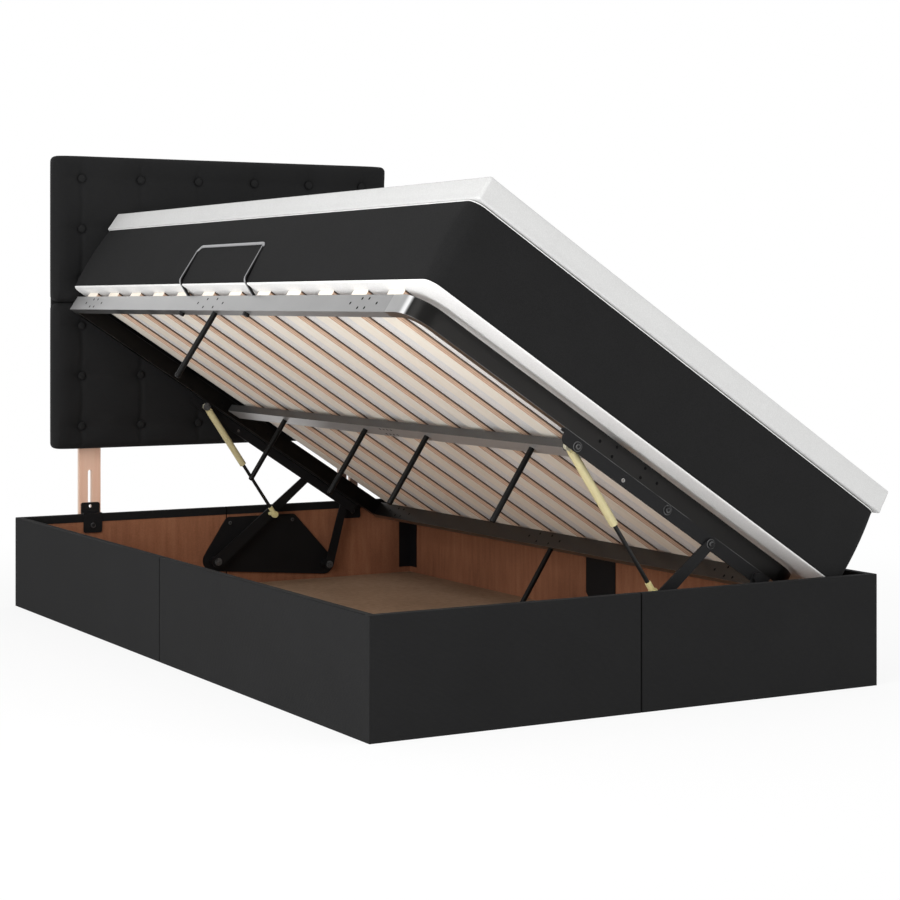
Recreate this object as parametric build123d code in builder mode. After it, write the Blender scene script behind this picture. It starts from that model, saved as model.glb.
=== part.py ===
from build123d import *
import os
from math import atan2, cos, degrees, hypot, radians, sin

# A side-lift storage bed, shown open: an upholstered box, a slatted deck that swings up on two
# links and a gas strut at each end, a mattress with its topper, and a tufted headboard on two
# slotted legs.
#
# Millimetres. X runs across the bed from the opening side (low) to the hinge side (high), Y runs
# towards the headboard and Z is up. The origin is on the floor under the middle of the box.
# Places on the raised deck are given as u, across from the mattress's raised edge, y, along the
# bed, and w, square to the deck and up from the slats' top.

os.makedirs("parts", exist_ok=True)

# Box, outer sizes with its fabric on
bed_width = 1200
bed_length = 2030
box_height = 234
board_thickness = 15
board_edge_bevel = 3
fabric_thickness = 1.2
fabric_fold = 21
panel_seam = 1
floor_thickness = 18
floor_play = 0.6
floor_seam_y = 60
bracket_leg = 38
bracket_thickness = 2.5
bracket_bottom = 34
bracket_top_inset = 50
joint_plate_length = 130
joint_plate_height = 120
joint_plate_corner = 12

# Deck frame of steel tube, and its slats
deck_tilt = 33.1
open_frame_inset = 122.7
open_frame_drop = 3.9
closed_deck_rise = 9
frame_side_inset = 52
frame_foot_inset = 89
frame_head_inset = 57
tube_width = 20
tube_height = 40
tube_wall = 1.5
corner_bend_radius = 60
bend_run = 40
beam_width = 40
beam_height = 20
beam_drop = 10
slat_count = 12
slat_end_inset = 102.15
slat_width = 65
slat_thickness = 12
slat_chamfer = 2
slat_inset = 2
support_leg_radius = 6.5
support_leg_clearance = 0.8
support_leg_shift = -5
beam_leg_inner_pitch = 307
beam_leg_outer_pitch = 1224
rail_leg_y = 9

# Mattress, topper and the wire loop that stops them sliding
mattress_open_overhang = 30
mattress_hinge_overhang = 50
mattress_foot_inset = 18.5
mattress_head_inset = 53
mattress_thickness = 184
mattress_corner_radius = 34
mattress_draw_in = 7
mattress_edge_bevel = 12
soft_clearance = 0.3
topper_thickness = 57
topper_overhang = 9
topper_foot_overhang = 7
topper_head_overhang = 3
topper_corner_radius = 20
topper_draw_in = 3
topper_edge_bevel = 10
loop_wire_radius = 4
loop_foot_y = -165
loop_head_y = 204
loop_rise = 103
loop_stand_off = 5.5
loop_step_w = -4.5
loop_top_bend = 18
loop_hole_clearance = 0.6

# Lift mechanism at each end of the deck. Insets are from the frame's outside on the hinge side.
plate_start_inset = 674
plate_end_inset = 74
plate_depth = 28
plate_thickness = 4
plate_corner_radius = 14
strut_pivot_inset = 634
spare_hole_inset = 504
spare_hole_radius = 3.8
plate_bolt_inset = 378
plate_bolt_drop = 12
arm_pivot_inset = 250
link_pivot_inset = 110
pivot_drop = 17
arm_pin_height = 88
link_pin_height = 60
arm_thickness = 5
arm_pivot_boss = 11
arm_strut_boss = 11.5
arm_pin_boss = 17
link_pivot_boss = 11
link_pin_boss = 13
journal_radius = 6
journal_clearance = 0.06
face_clearance = 0.3
hex_sides = 6
nut_radius = 10
nut_thickness = 5
bolt_radius = 4
bolt_head_radius = 7.5
bolt_head_height = 4
standoff_radius = 11
base_plate_thickness = 4.5
base_plate_lobe = 30
base_plate_ear = 16
base_plate_ear_drop = 44
base_plate_ear_reach = 50
base_screw_radius = 5
base_screw_height = 3
strut_inset = 33
strut_pivot_reach = 150
strut_radius = 9
strut_length = 196
strut_shoulder = 14
strut_neck_radius = 7
strut_bore_start = 22
strut_eye_radius = 9
strut_eye_thickness = 10
strut_pin_radius = 5
strut_rod_radius = 4.5
strut_rod_clearance = 0.06
strut_rod_overlap = 31
strut_fitting_radius = 6.5
strut_fitting_length = 20
strut_head_thickness = 2

# Headboard
headboard_width = 1002
headboard_shift = -9
headboard_rise = 177
headboard_height = 785
headboard_thickness = 50
headboard_corner_radius = 26
headboard_edge_depth = 18
headboard_edge_width = 12
headboard_board_thickness = 12
headboard_board_inset = 8
headboard_board_corner = 12
cushion_seam = 1
tuft_columns = 6
tuft_rows = 3
tuft_side_inset = 81
tuft_end_inset = 61.5
tuft_folds = 8
tuft_radius = 24
tuft_depth = 8
fold_width = 10
fold_depth = 1.8
button_radius = 11
button_facets = 8
button_taper = 30
button_height = 3.2
button_clearance = 0.3
leg_inset = 110
leg_width = 60
leg_thickness = 14
leg_drop = 104
leg_top_inset = 186
leg_corner = 5
slot_width = 12
slot_drop = 84
slot_rise = 118
leg_bolt_rises = (69, 519)
clamp_width = 52
clamp_thickness = 3
clamp_drop = 50
clamp_rise = 30
clamp_corner_radius = 6
clamp_bolt_drop = 30
clamp_hole_rise = 20
clamp_bolt_clearance = 0.4

# A cut runs this far past the material that it opens
overrun = 2

# Worked out from the above
half_width = bed_width / 2
half_length = bed_length / 2
board_inner = fabric_thickness + board_thickness
wrapped_thickness = board_inner + fabric_thickness
board_height = box_height - fabric_thickness
inner_x = half_width - board_inner
inner_y = half_length - board_inner
frame_width = bed_width - 2 * frame_side_inset
mattress_width = mattress_open_overhang + frame_width + mattress_hinge_overhang
mattress_foot_y = mattress_foot_inset - half_length
mattress_head_y = half_length - mattress_head_inset
closed_deck_height = box_height + closed_deck_rise
frame_foot_y = frame_foot_inset - half_length
frame_head_y = half_length - frame_head_inset
frame_u = mattress_open_overhang
frame_far_u = frame_u + frame_width
frame_top_w = -slat_thickness
frame_bottom_w = frame_top_w - tube_height
rail_middle_w = frame_top_w - tube_height / 2
open_rail_u = frame_u + tube_width / 2
hinge_rail_u = frame_far_u - tube_width / 2
deck_middle_u = frame_u + frame_width / 2
mattress_middle_u = mattress_width / 2
frame_length = frame_head_y - frame_foot_y
frame_middle_y = (frame_foot_y + frame_head_y) / 2
slat_pitch = (frame_length - 2 * slat_end_inset) / (slat_count - 1)
bend_end_y = frame_foot_y + corner_bend_radius + bend_run
rail_inner_head_y = frame_head_y - tube_width
beam_top_w = frame_top_w - beam_drop
beam_bottom_w = beam_top_w - beam_height
pivot_w = frame_bottom_w - pivot_drop
plate_start_u = frame_far_u - plate_start_inset
plate_end_u = frame_far_u - plate_end_inset
plate_bolt_u = frame_far_u - plate_bolt_inset
spare_hole_u = frame_far_u - spare_hole_inset
strut_pivot_u = frame_far_u - strut_pivot_inset
arm_pivot_u = frame_far_u - arm_pivot_inset
link_pivot_u = frame_far_u - link_pivot_inset
headboard_back_y = half_length + clamp_thickness
headboard_board_y = headboard_back_y - headboard_board_thickness
headboard_front_y = headboard_back_y - headboard_thickness
headboard_bottom = box_height + headboard_rise
headboard_top = headboard_bottom + headboard_height
cushion_height = (headboard_height - cushion_seam) / 2
leg_offset = headboard_width / 2 - leg_inset
leg_bottom = box_height - leg_drop
leg_top = headboard_top - leg_top_inset
slot_bottom = box_height - slot_drop
slot_top = box_height + slot_rise
clamp_bolt_height = box_height - clamp_bolt_drop
clamp_hole_height = box_height + clamp_hole_rise

tilt = radians(deck_tilt)
across = Vector(cos(tilt), 0, -sin(tilt))
upward = Vector(sin(tilt), 0, cos(tilt))
raised_edge_x = half_width - open_frame_inset - frame_far_u * cos(tilt)
raised_edge_z = box_height - open_frame_drop + frame_far_u * sin(tilt)
deck = Plane(origin=(raised_edge_x, 0, raised_edge_z), x_dir=across, z_dir=upward)


def deck_section(y):
    """The plane across the deck at y, drawn in u and w, with its normal towards the foot."""
    return Plane(origin=(raised_edge_x, y, raised_edge_z), x_dir=across, z_dir=(0, -1, 0))


def deck_side(u):
    """The plane along the deck at u, drawn in y and w, with its normal towards the hinge side."""
    return Plane(origin=deck.from_local_coords((u, 0, 0)), x_dir=(0, 1, 0), z_dir=across)


def upright(y):
    """The plane across the box at y, drawn in x and z, with its normal towards the foot."""
    return Plane(origin=(0, y, 0), x_dir=(1, 0, 0), z_dir=(0, -1, 0))


def side_view(x):
    """The plane along the box at x, drawn in y and z, with its normal towards the hinge side."""
    return Plane(origin=(x, 0, 0), x_dir=(0, 1, 0), z_dir=(1, 0, 0))


def open_place(u, w):
    """x and z of a place on the open deck."""
    place = deck.from_local_coords((u, 0, w))
    return (place.X, place.Z)


def closed_place(u, w):
    """x and z of the same place once the deck is closed."""
    return (u - deck_middle_u, closed_deck_height + w)


def base_pin(u, height):
    """The fixed pin at this height that is as far from a deck pivot when open as when closed."""
    open_x, open_z = open_place(u, pivot_w)
    closed_x, closed_z = closed_place(u, pivot_w)
    middle_x = (open_x + closed_x) / 2
    middle_z = (open_z + closed_z) / 2
    slope = (closed_z - open_z) / (closed_x - open_x)
    return (middle_x - (height - middle_z) * slope, height)


def distance(start, end):
    """The distance between two places given by x and z."""
    return hypot(end[0] - start[0], end[1] - start[1])


def part_way(start, end, reach):
    """The place at this distance from start on the line to end."""
    share = reach / distance(start, end)
    return (start[0] + (end[0] - start[0]) * share, start[1] + (end[1] - start[1]) * share)


def between(x_start, x_end, y_start, y_end, mode=Mode.ADD):
    """A rectangle given by two opposite corners."""
    with Locations(((x_start + x_end) / 2, (y_start + y_end) / 2)):
        Rectangle(abs(x_end - x_start), abs(y_end - y_start), mode=mode)


def hollow_section(width, height):
    """The section of a rectangular tube."""
    Rectangle(width, height)
    Rectangle(width - 2 * tube_wall, height - 2 * tube_wall, mode=Mode.SUBTRACT)


def keep(piece, node):
    """Labels a finished piece and writes it."""
    piece.part.label = node
    export_step(piece.part, f"parts/{node}.step")


strut_pivot = open_place(strut_pivot_u, pivot_w)
arm_pivot = open_place(arm_pivot_u, pivot_w)
link_pivot = open_place(link_pivot_u, pivot_w)
arm_pin = base_pin(arm_pivot_u, arm_pin_height)
link_pin = base_pin(link_pivot_u, link_pin_height)
strut_foot = part_way(arm_pivot, arm_pin, strut_pivot_reach)
strut_reach = distance(strut_pivot, strut_foot)
strut_line = Vector(strut_foot[0] - strut_pivot[0], 0, strut_foot[1] - strut_pivot[1]).normalized()

# Each end of the deck: its sign along Y, its name, the rail's outer face and the box's inner face
ends = ((-1, "foot", frame_foot_y, -inner_y), (1, "head", frame_head_y, inner_y))

# The four upholstered panels. A panel's plane has X along the panel, Y inwards and Z up.


def outer_top(outline):
    """The outer top corner of a panel's section, drawn inwards and up."""
    return outline.vertices().sort_by(Axis.X)[:2].sort_by(Axis.Y)[-1]


def wrapped_panel(plane, board_half, end_wrap, fold_short, board_nodes, cover_node, bolts=()):
    """Two boards that meet at mid-length, and the fabric stretched over them in two pieces."""
    section = Plane(origin=plane.origin, x_dir=plane.y_dir, z_dir=plane.x_dir)
    outside = Plane(origin=plane.from_local_coords((0, -overrun, 0)), x_dir=plane.x_dir,
                    z_dir=plane.y_dir)
    board_length = board_half - panel_seam / 2
    boards = []
    for side, node in zip((-1, 1), board_nodes):
        start = panel_seam / 2 if side > 0 else -board_half
        with BuildPart() as board:
            with BuildSketch(section.offset(start)) as outline:
                between(fabric_thickness, board_inner, 0, board_height)
                chamfer(outer_top(outline), board_edge_bevel)
            extrude(amount=board_length)
            for place in bolts:
                if place * side > 0:
                    with BuildSketch(outside):
                        with Locations((place, -clamp_bolt_height)):
                            Circle(bolt_radius + clamp_bolt_clearance)
                    extrude(amount=wrapped_thickness + overrun, mode=Mode.SUBTRACT)
        keep(board, node)
        boards.append(board)
    with BuildPart() as cover:
        for side in (-1, 1):
            start = panel_seam / 2 if side > 0 else -board_half - end_wrap
            fold_start = panel_seam / 2 if side > 0 else fold_short - board_half - end_wrap
            with BuildSketch(section.offset(start)) as outline:
                between(0, board_inner, 0, box_height)
                chamfer(outer_top(outline), board_edge_bevel)
            extrude(amount=board_length + end_wrap)
            with BuildSketch(section.offset(fold_start)):
                between(board_inner, wrapped_thickness, box_height - fabric_fold, box_height)
            extrude(amount=board_length + end_wrap - fold_short)
        for board in boards:
            add(board.part, mode=Mode.SUBTRACT)
        for place in bolts:
            with BuildSketch(outside):
                with Locations((place, -clamp_bolt_height)):
                    Circle(bolt_radius + clamp_bolt_clearance)
            extrude(amount=wrapped_thickness + overrun, mode=Mode.SUBTRACT)
    keep(cover, cover_node)


foot_plane = Plane(origin=(0, -half_length, 0), x_dir=(1, 0, 0), z_dir=(0, 0, 1))
head_plane = Plane(origin=(0, half_length, 0), x_dir=(-1, 0, 0), z_dir=(0, 0, 1))
open_plane = Plane(origin=(-half_width, 0, 0), x_dir=(0, -1, 0), z_dir=(0, 0, 1))
hinge_plane = Plane(origin=(half_width, 0, 0), x_dir=(0, 1, 0), z_dir=(0, 0, 1))
end_half = half_width - fabric_thickness
wrapped_panel(foot_plane, end_half, fabric_thickness, wrapped_thickness,
              ("foot_board_left", "foot_board_right"), "foot_cover")
wrapped_panel(head_plane, end_half, fabric_thickness, wrapped_thickness,
              ("head_board_right", "head_board_left"), "head_cover", (-leg_offset, leg_offset))
wrapped_panel(open_plane, inner_y, 0, 0,
              ("open_side_board_head", "open_side_board_foot"), "open_side_cover")
wrapped_panel(hinge_plane, inner_y, 0, 0,
              ("hinge_side_board_foot", "hinge_side_board_head"), "hinge_side_cover")

# Steel angles in the corners, and flat plates across the seams of the long panels

with BuildPart() as corner_brackets:
    for side_x in (-1, 1):
        for side_y in (-1, 1):
            face_x = side_x * inner_x
            face_y = side_y * inner_y
            with BuildSketch(Plane.XY.offset(bracket_bottom)):
                between(face_x, face_x - side_x * bracket_leg, face_y, face_y - side_y * bracket_thickness)
                between(face_x, face_x - side_x * bracket_thickness, face_y, face_y - side_y * bracket_leg)
            extrude(amount=box_height - bracket_top_inset - bracket_bottom)
keep(corner_brackets, "corner_brackets")

with BuildPart() as joining_plates:
    for side_x in (-1, 1):
        with BuildSketch(side_view(side_x * inner_x)):
            with Locations((0, box_height / 2)):
                Rectangle(joint_plate_length, joint_plate_height)
                chamfer(vertices(), joint_plate_corner)
        extrude(amount=-side_x * bracket_thickness)
keep(joining_plates, "joining_plates")

# The floor of the storage space, in two boards whose seam stands off the panels' seams

for side, node in ((-1, "floor_board_foot"), (1, "floor_board_head")):
    with BuildPart() as floor_board:
        with BuildSketch(Plane.XY):
            between(floor_play - inner_x, inner_x - floor_play,
                    floor_seam_y + side * panel_seam / 2, side * (inner_y - floor_play))
        extrude(amount=floor_thickness)
    keep(floor_board, node)

# Headboard: two tufted cushions on one board, carried by two slotted legs

cushion_middles = {
    "upper": headboard_top - cushion_height / 2,
    "lower": headboard_bottom + cushion_height / 2,
}
column_pitch = (headboard_width - 2 * tuft_side_inset) / (tuft_columns - 1)
row_pitch = (cushion_height - 2 * tuft_end_inset) / (tuft_rows - 1)
columns = [headboard_shift + (i - (tuft_columns - 1) / 2) * column_pitch for i in range(tuft_columns)]
rows = [(j - (tuft_rows - 1) / 2) * row_pitch for j in range(tuft_rows)]
tuft_floor_y = headboard_front_y + tuft_depth
tuft_floor_radius = button_radius + button_clearance
tuft_slope = degrees(atan2(tuft_radius - tuft_floor_radius, tuft_depth))

for name, middle in cushion_middles.items():
    with BuildPart() as cushion:
        with BuildSketch(upright(headboard_board_y)):
            with Locations((headboard_shift, middle)):
                RectangleRounded(headboard_width, cushion_height, headboard_corner_radius)
        extrude(amount=headboard_board_y - headboard_front_y)
        chamfer(cushion.faces().sort_by(Axis.Y)[0].edges(), headboard_edge_depth, headboard_edge_width)
        with BuildSketch(Plane.XY.offset(middle - cushion_height / 2)):
            with Locations(*[(x, headboard_front_y) for x in columns]):
                Polygon((-fold_width / 2, 0), (fold_width / 2, 0), (0, fold_depth), align=None)
        extrude(amount=cushion_height, mode=Mode.SUBTRACT)
        with BuildSketch(side_view(headboard_shift - headboard_width / 2)):
            with Locations(*[(headboard_front_y, middle + z) for z in rows]):
                Polygon((0, -fold_width / 2), (fold_depth, 0), (0, fold_width / 2), align=None)
        extrude(amount=headboard_width, mode=Mode.SUBTRACT)
        with BuildSketch(upright(tuft_floor_y)):
            with Locations(*[(x, middle + z) for x in columns for z in rows]):
                RegularPolygon(tuft_floor_radius, tuft_folds, major_radius=False)
        extrude(amount=tuft_depth, taper=-tuft_slope, mode=Mode.SUBTRACT)
    keep(cushion, f"headboard_{name}_cushion")

with BuildPart() as headboard_buttons:
    with BuildSketch(upright(tuft_floor_y)):
        for middle in cushion_middles.values():
            with Locations(*[(x, middle + z) for x in columns for z in rows]):
                RegularPolygon(button_radius, button_facets)
    extrude(amount=button_height, taper=button_taper)
keep(headboard_buttons, "headboard_buttons")

with BuildPart() as headboard_backboard:
    with BuildSketch(upright(headboard_back_y)):
        with Locations((headboard_shift, (headboard_top + headboard_bottom) / 2)):
            Rectangle(headboard_width - 2 * headboard_board_inset,
                      headboard_top - headboard_bottom - 2 * headboard_board_inset)
            chamfer(vertices(), headboard_board_corner)
    extrude(amount=headboard_board_thickness)
keep(headboard_backboard, "headboard_backboard")

leg_back_y = headboard_back_y + leg_thickness
for side, name in ((-1, "left"), (1, "right")):
    with BuildPart() as headboard_leg:
        with BuildSketch(upright(leg_back_y)):
            with Locations((side * leg_offset, (leg_bottom + leg_top) / 2)):
                Rectangle(leg_width, leg_top - leg_bottom)
            chamfer(vertices(), leg_corner)
            with Locations((side * leg_offset, (slot_bottom + slot_top) / 2)):
                SlotOverall(slot_top - slot_bottom, slot_width, rotation=90, mode=Mode.SUBTRACT)
        extrude(amount=leg_thickness)
    keep(headboard_leg, f"headboard_leg_{name}")

    with BuildPart() as headboard_clamp:
        clamp_front_y = half_length - wrapped_thickness - clamp_thickness
        with BuildSketch(side_view(side * leg_offset - clamp_width / 2)):
            between(clamp_front_y, clamp_front_y + clamp_thickness, box_height - clamp_drop,
                    box_height + clamp_thickness)
            between(clamp_front_y, headboard_back_y, box_height, box_height + clamp_thickness)
            between(half_length, headboard_back_y, box_height, box_height + clamp_rise)
        extrude(amount=clamp_width)
        ends_of_clamp = headboard_clamp.edges().filter_by(Axis.Y).group_by(Axis.Z)
        fillet(ends_of_clamp[0] + ends_of_clamp[-1], clamp_corner_radius)
        with BuildSketch(upright(headboard_back_y)):
            with Locations((side * leg_offset, clamp_bolt_height), (side * leg_offset, clamp_hole_height)):
                Circle(bolt_radius + clamp_bolt_clearance)
        extrude(amount=headboard_back_y - clamp_front_y, mode=Mode.SUBTRACT)
    keep(headboard_clamp, f"headboard_clamp_{name}")

with BuildPart() as headboard_fasteners:
    for side in (-1, 1):
        bolt_place = (side * leg_offset, clamp_bolt_height)
        with BuildSketch(upright(clamp_front_y)):
            with Locations(bolt_place):
                RegularPolygon(bolt_head_radius, hex_sides)
        extrude(amount=bolt_head_height)
        with BuildSketch(upright(clamp_front_y)):
            with Locations(bolt_place):
                Circle(bolt_radius)
        extrude(amount=clamp_front_y - leg_back_y)
        with BuildSketch(upright(leg_back_y)):
            with Locations(bolt_place):
                RegularPolygon(nut_radius, hex_sides)
        extrude(amount=-nut_thickness)
        with BuildSketch(upright(leg_back_y)):
            with Locations(*[(side * leg_offset, headboard_bottom + rise) for rise in leg_bolt_rises]):
                RegularPolygon(bolt_head_radius, hex_sides)
        extrude(amount=-bolt_head_height)
keep(headboard_fasteners, "headboard_fasteners")

# The fixed side of the lift: at each end a plate on the panel, with two bushes and their journals

for side, name, face_y, inner_face_y in ends:
    bush_reach = abs(inner_face_y - face_y) - base_plate_thickness - arm_thickness - 2 * face_clearance
    journal_reach = arm_thickness + 2 * face_clearance
    ear_height = box_height - base_plate_ear_drop
    with BuildPart() as base_plate:
        with BuildSketch(upright(inner_face_y)):
            with Locations(arm_pin, link_pin):
                Circle(base_plate_lobe)
            with Locations((arm_pin[0] + base_plate_ear_reach, ear_height),
                           (link_pin[0] - 2 * base_plate_ear_reach, ear_height)):
                Circle(base_plate_ear)
            make_hull()
        extrude(amount=side * base_plate_thickness)
        with BuildSketch(upright(inner_face_y - side * base_plate_thickness)):
            with Locations(arm_pin, link_pin):
                Circle(standoff_radius)
        extrude(amount=side * bush_reach)
        with BuildSketch(upright(inner_face_y - side * (base_plate_thickness + bush_reach))):
            with Locations(arm_pin, link_pin):
                Circle(journal_radius)
        extrude(amount=side * journal_reach)
    keep(base_plate, f"base_plate_{name}")

with BuildPart() as base_fasteners:
    for side, name, face_y, inner_face_y in ends:
        with BuildSketch(upright(face_y)):
            with Locations(arm_pin, link_pin):
                RegularPolygon(nut_radius, hex_sides)
        extrude(amount=side * nut_thickness)
        with BuildSketch(upright(inner_face_y - side * base_plate_thickness)):
            with Locations((arm_pin[0] + base_plate_ear_reach, ear_height),
                           (link_pin[0] - 2 * base_plate_ear_reach, ear_height)):
                RegularPolygon(base_screw_radius, hex_sides)
        extrude(amount=side * base_screw_height)
keep(base_fasteners, "base_fasteners")

# The moving links of the lift. Each lies just outside the rail's face, and carries one fastener.

for side, name, face_y, inner_face_y in ends:
    link_y = face_y + side * face_clearance
    outer_link_y = link_y + side * arm_thickness
    with BuildPart() as long_arm:
        with BuildSketch(upright(link_y)):
            with Locations(arm_pin):
                Circle(arm_pin_boss)
            with Locations(strut_foot):
                Circle(arm_strut_boss)
            with Locations(arm_pivot):
                Circle(arm_pivot_boss)
            make_hull()
            with Locations(arm_pin, arm_pivot):
                Circle(journal_radius + journal_clearance, mode=Mode.SUBTRACT)
        extrude(amount=-side * arm_thickness)
        with BuildSketch(upright(outer_link_y)):
            with Locations(strut_foot):
                RegularPolygon(nut_radius, hex_sides)
        extrude(amount=-side * nut_thickness)
    keep(long_arm, f"long_arm_{name}")

    with BuildPart() as short_link:
        with BuildSketch(upright(link_y)):
            with Locations(link_pin):
                Circle(link_pin_boss)
            with Locations(link_pivot):
                Circle(link_pivot_boss)
            make_hull()
            with Locations(link_pin):
                Circle(journal_radius + journal_clearance, mode=Mode.SUBTRACT)
        extrude(amount=-side * arm_thickness)
        with BuildSketch(upright(outer_link_y)):
            with Locations(link_pivot):
                RegularPolygon(nut_radius, hex_sides)
        extrude(amount=-side * nut_thickness)
    keep(short_link, f"short_link_{name}")

# The gas springs, inside the rails: a cylinder on the deck, its rod on the long arm

for side, name, face_y, inner_face_y in ends:
    middle_y = face_y - side * strut_inset
    start = Vector(strut_pivot[0], middle_y, strut_pivot[1])
    profile = Plane(origin=start, x_dir=strut_line, z_dir=(0, -1, 0))
    line = Axis(start, strut_line)
    bore_radius = strut_rod_radius + strut_rod_clearance
    eye_y = middle_y - side * strut_eye_thickness / 2
    with BuildPart() as strut_cylinder:
        with BuildSketch(profile):
            between(strut_shoulder, strut_length, 0, strut_radius)
            between(strut_bore_start, strut_length, 0, bore_radius, mode=Mode.SUBTRACT)
        revolve(axis=line)
        with BuildSketch(Plane(origin=(strut_pivot[0], eye_y, strut_pivot[1]), x_dir=strut_line,
                               z_dir=(0, -1, 0))):
            Circle(strut_eye_radius)
            between(0, strut_shoulder, -strut_neck_radius, strut_neck_radius)
        extrude(amount=-side * strut_eye_thickness)
        with BuildSketch(upright(eye_y)):
            with Locations(strut_pivot):
                Circle(strut_pin_radius + journal_clearance)
        extrude(amount=-side * strut_eye_thickness, mode=Mode.SUBTRACT)
    keep(strut_cylinder, f"strut_cylinder_{name}")

    rod_start = strut_length - strut_rod_overlap
    fitting_end = strut_reach - strut_eye_radius / 2
    with BuildPart() as strut_rod:
        with BuildSketch(profile):
            between(rod_start, fitting_end, 0, strut_rod_radius)
            between(fitting_end - strut_fitting_length, fitting_end, 0, strut_fitting_radius)
        revolve(axis=line)
        with BuildSketch(upright(eye_y)):
            with Locations(strut_foot):
                Circle(strut_eye_radius)
        extrude(amount=-side * strut_eye_thickness)
        with BuildSketch(upright(face_y)):
            with Locations(strut_foot):
                Circle(strut_pin_radius)
        extrude(amount=side * (strut_inset + strut_eye_thickness / 2 + strut_head_thickness))
    keep(strut_rod, f"strut_rod_{name}")

# The deck's frame: two side rails, a foot rail with both round corners, a head rail and a beam

loop_spots = [(open_rail_u, loop_foot_y), (open_rail_u, loop_head_y)]
side_rails = ((-1, open_rail_u, "rail_open_side"), (1, hinge_rail_u, "rail_hinge_side"))
for outwards, middle_u, node in side_rails:
    with BuildPart() as side_rail:
        with BuildSketch(deck_section(frame_head_y)):
            with Locations((middle_u, rail_middle_w)):
                hollow_section(tube_width, tube_height)
        extrude(amount=frame_head_y - bend_end_y)
        if outwards < 0:
            with BuildSketch(deck.offset(frame_bottom_w)):
                with Locations(*loop_spots):
                    Circle(loop_wire_radius + loop_hole_clearance)
            extrude(amount=tube_height, mode=Mode.SUBTRACT)
    keep(side_rail, node)

with BuildPart() as rail_foot:
    for inset, mode in ((0, Mode.ADD), (tube_wall, Mode.SUBTRACT)):
        with BuildSketch(deck.offset(frame_bottom_w + inset)):
            with Locations((deck_middle_u, frame_middle_y)):
                RectangleRounded(frame_width - 2 * inset, frame_length - 2 * inset,
                                 corner_bend_radius - inset)
                RectangleRounded(frame_width - 2 * tube_width + 2 * inset,
                                 frame_length - 2 * tube_width + 2 * inset,
                                 corner_bend_radius - tube_width + inset, mode=Mode.SUBTRACT)
            with Locations((deck_middle_u, frame_foot_y + (bend_end_y - frame_foot_y) / 2)):
                Rectangle(frame_width, bend_end_y - frame_foot_y, mode=Mode.INTERSECT)
        extrude(amount=tube_height - 2 * inset, mode=mode)
keep(rail_foot, "rail_foot")

with BuildPart() as rail_head:
    with BuildSketch(deck_side(frame_u + tube_width)):
        with Locations((frame_head_y - tube_width / 2, rail_middle_w)):
            hollow_section(tube_width, tube_height)
    extrude(amount=frame_width - 2 * tube_width)
keep(rail_head, "rail_head")

with BuildPart() as centre_beam:
    with BuildSketch(deck_section(rail_inner_head_y)):
        with Locations((deck_middle_u, (beam_top_w + beam_bottom_w) / 2)):
            hollow_section(beam_width, beam_height)
    extrude(amount=rail_inner_head_y - frame_foot_y - tube_width)
keep(centre_beam, "centre_beam")

for i in range(slat_count):
    with BuildPart() as slat:
        slat_y = frame_middle_y + (i - (slat_count - 1) / 2) * slat_pitch
        with BuildSketch(deck_side(frame_u + slat_inset)):
            with Locations((slat_y, frame_top_w / 2)):
                Rectangle(slat_width, slat_thickness)
            chamfer(vertices(), slat_chamfer)
        extrude(amount=frame_width - 2 * slat_inset)
    keep(slat, f"slat_{i + 1:02d}")

# Rods that the closed deck stands on: four under the beam and one under each side rail

support_leg_w = floor_thickness + support_leg_clearance - closed_deck_height
leg_places = [(open_rail_u, rail_leg_y, frame_bottom_w), (hinge_rail_u, rail_leg_y, frame_bottom_w)]
for pitch in (beam_leg_inner_pitch, beam_leg_outer_pitch):
    for side in (-1, 1):
        leg_y = support_leg_shift + side * pitch / 2
        leg_places.append((deck_middle_u, leg_y, beam_bottom_w))
with BuildPart() as support_legs:
    for leg_u, leg_y, top_w in leg_places:
        with BuildSketch(deck.offset(top_w)):
            with Locations((leg_u, leg_y)):
                Circle(support_leg_radius)
        extrude(amount=support_leg_w - top_w)
keep(support_legs, "support_legs")

# The wire loop, up through the raised rail and round the mattress's edge

loop_points = []
for y, bend_y, order in ((loop_foot_y, loop_top_bend, 1), (loop_head_y, -loop_top_bend, -1)):
    upright_points = [
        (open_rail_u, y, frame_bottom_w),
        (open_rail_u, y, loop_step_w),
        (-loop_stand_off, y, loop_step_w),
        (-loop_stand_off, y, loop_rise - loop_top_bend),
        (-loop_stand_off, y + bend_y, loop_rise),
    ]
    loop_points += upright_points[::order]
with BuildPart() as mattress_retainer:
    with BuildLine() as wire:
        Polyline(*[deck.from_local_coords(point) for point in loop_points])
    with BuildSketch(deck.offset(frame_bottom_w)):
        with Locations((open_rail_u, loop_foot_y)):
            Circle(loop_wire_radius)
    sweep(transition=Transition.RIGHT)
keep(mattress_retainer, "mattress_retainer")

# The moving side of the lift: a steel angle under each end rail, with the pivot studs

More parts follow.
